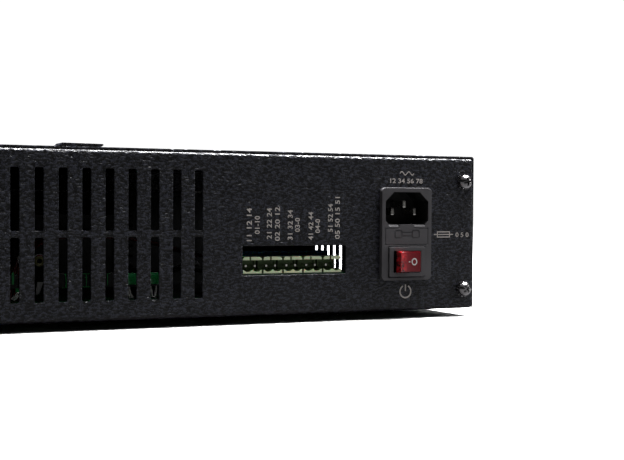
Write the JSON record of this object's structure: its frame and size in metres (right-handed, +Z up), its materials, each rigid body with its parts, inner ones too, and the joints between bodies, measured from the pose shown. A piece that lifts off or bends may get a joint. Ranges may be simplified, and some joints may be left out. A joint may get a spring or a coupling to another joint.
{
  "type": "rackmount ups",
  "caption": "Rack-mount direct-current uninterruptible power supply: flat black steel case with slotted vents, fused mains inlet with rocker switch, alarm terminals and inner batteries.",
  "frame": {"origin": "centre of the outline in plan, on the plane under the rubber feet", "axes": "+Z up, front panel faces -Y, rear wall faces +Y, +X to the right seen from the front"},
  "size_m": [0.4826, 0.4062, 0.0919],
  "materials": {
    "case_coat": "wrinkled powder coat",
    "panel_coat": "fine powder coat",
    "handle_black": "satin anodised black",
    "screw_steel": "nickel plated",
    "foot_rubber": "matt",
    "inlet_plastic": "moulded",
    "pin_metal": "tinned",
    "rocker_red": "translucent red",
    "lamp_glass": "clear",
    "contact_brass": "bright",
    "fuse_glass": "clear",
    "spade_red": "moulded",
    "wire_brown": "pvc",
    "wire_green": "pvc",
    "wire_red": "pvc",
    "wire_black": "pvc",
    "header_green": "moulded",
    "board_green": "solder mask",
    "strip_blue": "moulded",
    "black_plastic": "moulded",
    "film_green": "resin",
    "ferrite": "sintered",
    "tape_black": "tape",
    "sink_anodised": "black anodised",
    "sleeve_dark": "shrink sleeve",
    "copper_wire": "enamelled copper",
    "battery_case": "moulded",
    "strap_zinc": "zinc plated",
    "standoff_brass": "bright",
    "led_lens": "tinted",
    "button_grey": "moulded"
  },
  "bodies": {
    "case": {"chassis_base": "case_coat", "top_cover": "case_coat", "cover_tab": "case_coat", "front_panel": "panel_coat", "handle_left": "handle_black", "handle_right": "handle_black", "front_panel_screws": "screw_steel", "handle_screws": "screw_steel", "foot_screws": "screw_steel", "rear_cover_screws": "screw_steel", "rear_lock_washers": "screw_steel", "bottom_screws": "screw_steel", "inner_screws": "screw_steel", "output_block_screws": "screw_steel", "rubber_feet": "foot_rubber", "inlet_housing": "inlet_plastic", "switch_frame": "inlet_plastic", "inlet_pins": "pin_metal", "header_pins": "pin_metal", "battery_tabs": "pin_metal", "film_capacitor_leads": "pin_metal", "switch_lamp": "lamp_glass", "switch_terminals": "contact_brass", "earth_stud": "contact_brass", "spade_connectors": "spade_red", "mains_wires": "wire_brown", "earth_wire": "wire_green", "positive_lead": "wire_red", "signal_wires": "wire_red", "negative_lead": "wire_black", "alarm_header_1": "header_green", "alarm_header_2": "header_green", "alarm_header_3": "header_green", "alarm_header_4": "header_green", "alarm_header_5": "header_green", "alarm_board": "board_green", "power_board": "board_green", "indicator_board": "board_green", "signal_strip": "strip_blue", "alarm_relays": "black_plastic", "power_transistors": "black_plastic", "output_block": "black_plastic", "film_capacitors": "film_green", "transformer_core": "ferrite", "transformer_winding": "tape_black", "rectifier_heatsink": "sink_anodised", "transistor_heatsink": "sink_anodised", "bulk_capacitors": "sleeve_dark", "output_capacitors": "sleeve_dark", "output_choke": "copper_wire", "battery_left": "battery_case", "battery_right": "battery_case", "battery_strap": "strap_zinc", "board_standoffs": "standoff_brass", "indicator_leds": "led_lens"},
    "rocker": {"power_rocker": "rocker_red"},
    "drawer": {"fuse_drawer": "inlet_plastic", "fuse_tubes": "fuse_glass", "fuse_caps": "pin_metal"},
    "button": {"test_button": "button_grey"}
  },
  "joints": [
    {"name": "rocker_hinge", "type": "hinge", "parent": "case", "child": "rocker", "pos_m": [-0.17485, 0.19575, 0.03155], "axis": [0, 0, -1], "range_deg": [0, 24]},
    {"name": "drawer_slide", "type": "slide", "parent": "case", "child": "drawer", "axis": [0, 1, 0], "range_m": [0, 0.016]},
    {"name": "button_press", "type": "slide", "parent": "case", "child": "button", "axis": [0, 1, 0], "range_m": [0, 0.0015], "stiffness_N_per_m": 300}
  ]
}
